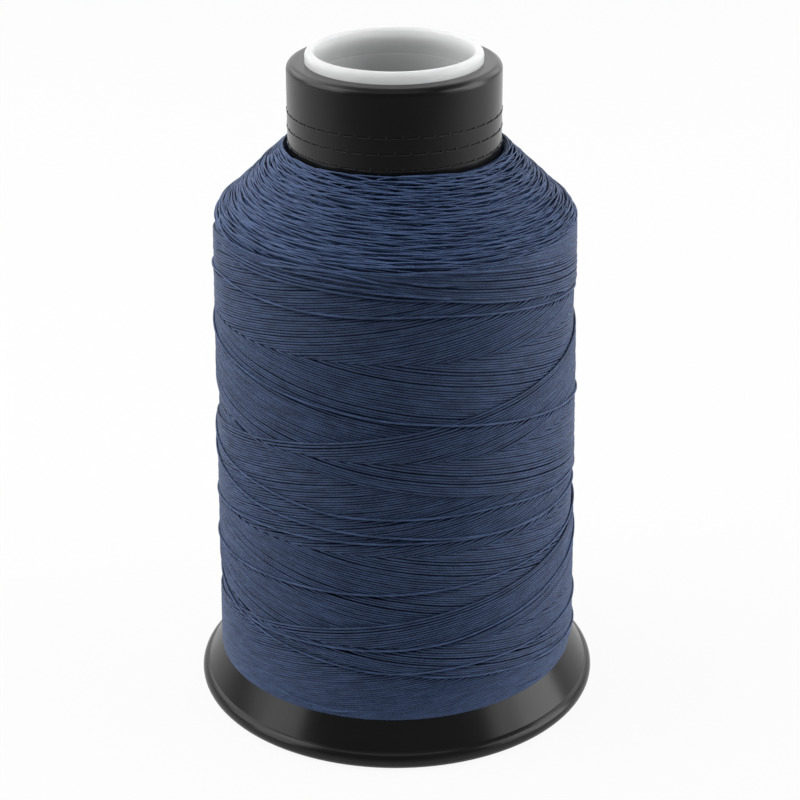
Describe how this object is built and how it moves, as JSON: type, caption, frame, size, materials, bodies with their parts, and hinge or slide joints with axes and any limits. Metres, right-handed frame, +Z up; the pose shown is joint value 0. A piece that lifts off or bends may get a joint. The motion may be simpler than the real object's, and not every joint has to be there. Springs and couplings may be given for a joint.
{
  "type": "spool of thread",
  "caption": "Upright thread spool: tubular barrel with a round-shouldered pack of wound thread, a wide conical base flange and a white ring lining the bore of its neck.",
  "frame": {"origin": "centre of the foot, on the surface that the spool stands on", "axes": "+Z up along the spool's axis, towards the neck and its ring; X and Y lie across it"},
  "size_m": [0.0808, 0.0808, 0.132],
  "materials": {
    "barrel_black": "satin moulded",
    "flange_black": "glossy moulded",
    "ring_white": "smooth, slightly translucent",
    "thread_blue": "bonded twisted filament, low sheen"
  },
  "bodies": {
    "root": {"spool_barrel": "barrel_black", "base_flange": "flange_black", "rim_ring": "ring_white", "thread_pack": "thread_blue", "thread_winding": "thread_blue"}
  },
  "joints": []
}
